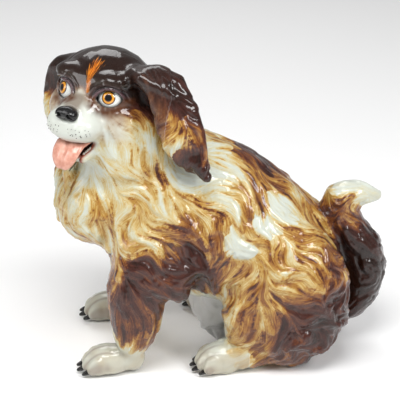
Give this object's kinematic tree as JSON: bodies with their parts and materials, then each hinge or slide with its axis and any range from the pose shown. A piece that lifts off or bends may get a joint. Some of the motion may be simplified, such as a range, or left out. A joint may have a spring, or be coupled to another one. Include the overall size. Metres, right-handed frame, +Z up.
{
  "type": "dog figurine",
  "caption": "Seated long-haired spaniel figurine in glazed, hand-painted porcelain, with its head turned and its tongue out, standing free on its paws.",
  "frame": {"origin": "under the middle of the figurine's box, on the plane its paws stand on", "axes": "+Z up, the dog's body faces -Y, and its left side is +X"},
  "size_m": [0.1322, 0.241, 0.2252],
  "materials": {
    "cream_coat": "gloss glaze over painted enamel",
    "dark_crown": "gloss glaze over painted enamel",
    "white_muzzle": "gloss glaze over painted enamel",
    "tongue_pink": "gloss glaze over painted enamel",
    "nose_black": "gloss glaze over painted enamel",
    "eye_amber": "gloss glaze over painted enamel",
    "dark_ear": "gloss glaze over painted enamel",
    "brown_leg": "gloss glaze over painted enamel",
    "ochre_coat": "gloss glaze over painted enamel",
    "white_paw": "gloss glaze over painted enamel",
    "claw_black": "gloss glaze over painted enamel",
    "white_tuft": "gloss glaze over painted enamel",
    "dark_tail": "gloss glaze over painted enamel"
  },
  "bodies": {
    "root": {"torso": "cream_coat", "head": "dark_crown", "lower_jaw": "white_muzzle", "tongue": "tongue_pink", "nose": "nose_black", "left_eye": "eye_amber", "left_ear": "dark_ear", "left_foreleg": "brown_leg", "left_haunch": "ochre_coat", "left_front_paw": "white_paw", "left_hind_paw": "white_paw", "left_front_claw_1": "claw_black", "left_hind_claw_1": "claw_black", "left_front_claw_2": "claw_black", "left_hind_claw_2": "claw_black", "left_front_claw_3": "claw_black", "left_hind_claw_3": "claw_black", "left_front_claw_4": "claw_black", "left_hind_claw_4": "claw_black", "right_eye": "eye_amber", "right_ear": "dark_ear", "right_foreleg": "brown_leg", "right_haunch": "ochre_coat", "right_front_paw": "white_paw", "right_hind_paw": "white_paw", "right_front_claw_1": "claw_black", "right_hind_claw_1": "claw_black", "right_front_claw_2": "claw_black", "right_hind_claw_2": "claw_black", "right_front_claw_3": "claw_black", "right_hind_claw_3": "claw_black", "right_front_claw_4": "claw_black", "right_hind_claw_4": "claw_black", "belly_tuft": "white_tuft", "tail": "dark_tail"}
  },
  "joints": []
}
